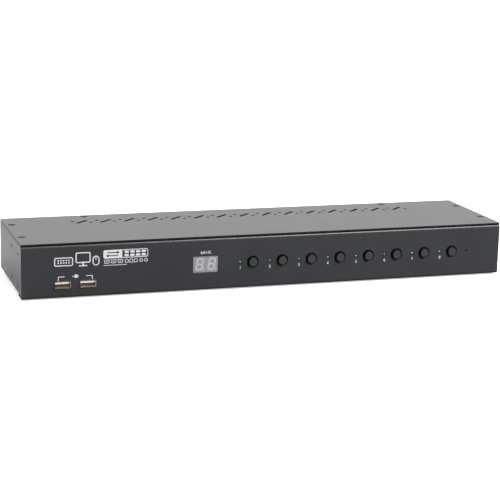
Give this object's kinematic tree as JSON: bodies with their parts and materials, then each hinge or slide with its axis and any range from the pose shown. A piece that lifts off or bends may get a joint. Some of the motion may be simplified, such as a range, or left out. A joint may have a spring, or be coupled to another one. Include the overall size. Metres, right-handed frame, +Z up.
{
  "type": "kvm switch",
  "caption": "One-unit rack-width keyboard, video and mouse switch: flat sheet-metal case with push buttons, lamps, a bank display and rear sockets.",
  "frame": {"origin": "centre of the whole object's footprint, buttons and rear sockets included, on the plane that the rubber feet stand on", "axes": "+Z up, front panel facing -Y, +X to the right as seen from the front"},
  "size_m": [0.406, 0.1084, 0.0448],
  "materials": {
    "case_black": "fine textured black powder coat",
    "panel_black": "fine textured black powder coat",
    "screw_black": "black zinc",
    "zinc": "bright zinc",
    "brass": "turned brass",
    "rubber": "matte",
    "board_green": "solder mask",
    "plastic_black": "moulded",
    "button_black": "fine moulded",
    "plunger_white": "moulded",
    "lamp_green": "tinted lens",
    "display_grey": "satin face",
    "socket_nickel": "nickel plated",
    "insulator_cream": "moulded",
    "insulator_white": "moulded",
    "audio_green": "moulded",
    "audio_pink": "moulded",
    "pin_metal": "plated",
    "ribbon_grey": "flexible vinyl",
    "chip_black": "moulded",
    "sink_aluminium": "anodised",
    "capacitor_blue": "sleeved"
  },
  "bodies": {
    "chassis": {"base_tray": "case_black", "front_panel": "panel_black", "rear_panel": "case_black", "top_cover": "case_black", "cover_screws": "screw_black", "cover_nuts": "zinc", "front_panel_screws": "screw_black", "rear_panel_screws": "screw_black", "ear_nuts": "zinc", "rubber_feet": "rubber", "main_board": "board_green", "upper_board": "board_green", "control_board": "board_green", "board_standoffs": "brass", "board_spacers": "brass", "control_board_brackets": "zinc", "board_screws": "zinc", "button_switches": "plastic_black", "port_lamps": "lamp_green", "lamp_spacers": "plastic_black", "bank_display": "display_grey", "display_socket": "plastic_black", "front_usb_shells": "socket_nickel", "front_usb_tongues": "insulator_cream", "reset_switch": "plastic_black", "dvi_shells": "socket_nickel", "dvi_inserts": "insulator_white", "dvi_bodies": "plastic_black", "dvi_jackscrews": "zinc", "usb_b_shells": "socket_nickel", "usb_b_cores": "insulator_white", "console_usb_shells": "socket_nickel", "console_usb_tongues": "insulator_white", "audio_jacks_green": "audio_green", "audio_jacks_pink": "audio_pink", "console_audio_body": "plastic_black", "power_jack": "plastic_black", "power_jack_pin": "pin_metal", "power_switch_frame": "plastic_black", "ground_screw": "zinc", "ribbon_cable": "ribbon_grey", "ribbon_headers": "plastic_black", "video_chips": "chip_black", "heat_sinks": "sink_aluminium", "control_chips": "chip_black", "capacitors": "capacitor_blue"},
    "button_1": {"button_cap_1": "button_black"},
    "button_2": {"button_cap_2": "button_black"},
    "button_3": {"button_cap_3": "button_black"},
    "button_4": {"button_cap_4": "button_black"},
    "button_5": {"button_cap_5": "button_black"},
    "button_6": {"button_cap_6": "button_black"},
    "button_7": {"button_cap_7": "button_black"},
    "button_8": {"button_cap_8": "button_black"},
    "reset_button": {"reset_plunger": "plunger_white"},
    "power_rocker": {"power_rocker": "plastic_black"}
  },
  "joints": [
    {"name": "button_1_press", "type": "slide", "parent": "chassis", "child": "button_1", "axis": [0, 1, 0], "range_m": [0, 0.0005], "stiffness_N_per_m": 2500},
    {"name": "button_2_press", "type": "slide", "parent": "chassis", "child": "button_2", "axis": [0, 1, 0], "range_m": [0, 0.0005], "stiffness_N_per_m": 2500},
    {"name": "button_3_press", "type": "slide", "parent": "chassis", "child": "button_3", "axis": [0, 1, 0], "range_m": [0, 0.0005], "stiffness_N_per_m": 2500},
    {"name": "button_4_press", "type": "slide", "parent": "chassis", "child": "button_4", "axis": [0, 1, 0], "range_m": [0, 0.0005], "stiffness_N_per_m": 2500},
    {"name": "button_5_press", "type": "slide", "parent": "chassis", "child": "button_5", "axis": [0, 1, 0], "range_m": [0, 0.0005], "stiffness_N_per_m": 2500},
    {"name": "button_6_press", "type": "slide", "parent": "chassis", "child": "button_6", "axis": [0, 1, 0], "range_m": [0, 0.0005], "stiffness_N_per_m": 2500},
    {"name": "button_7_press", "type": "slide", "parent": "chassis", "child": "button_7", "axis": [0, 1, 0], "range_m": [0, 0.0005], "stiffness_N_per_m": 2500},
    {"name": "button_8_press", "type": "slide", "parent": "chassis", "child": "button_8", "axis": [0, 1, 0], "range_m": [0, 0.0005], "stiffness_N_per_m": 2500},
    {"name": "reset_press", "type": "slide", "parent": "chassis", "child": "reset_button", "axis": [0, 1, 0], "range_m": [0, 0.0005], "stiffness_N_per_m": 2500},
    {"name": "power_rocker_tilt", "type": "hinge", "parent": "chassis", "child": "power_rocker", "pos_m": [-0.186, 0.04865, 0.033], "axis": [-1, 0, 0], "range_deg": [0, 22]}
  ]
}
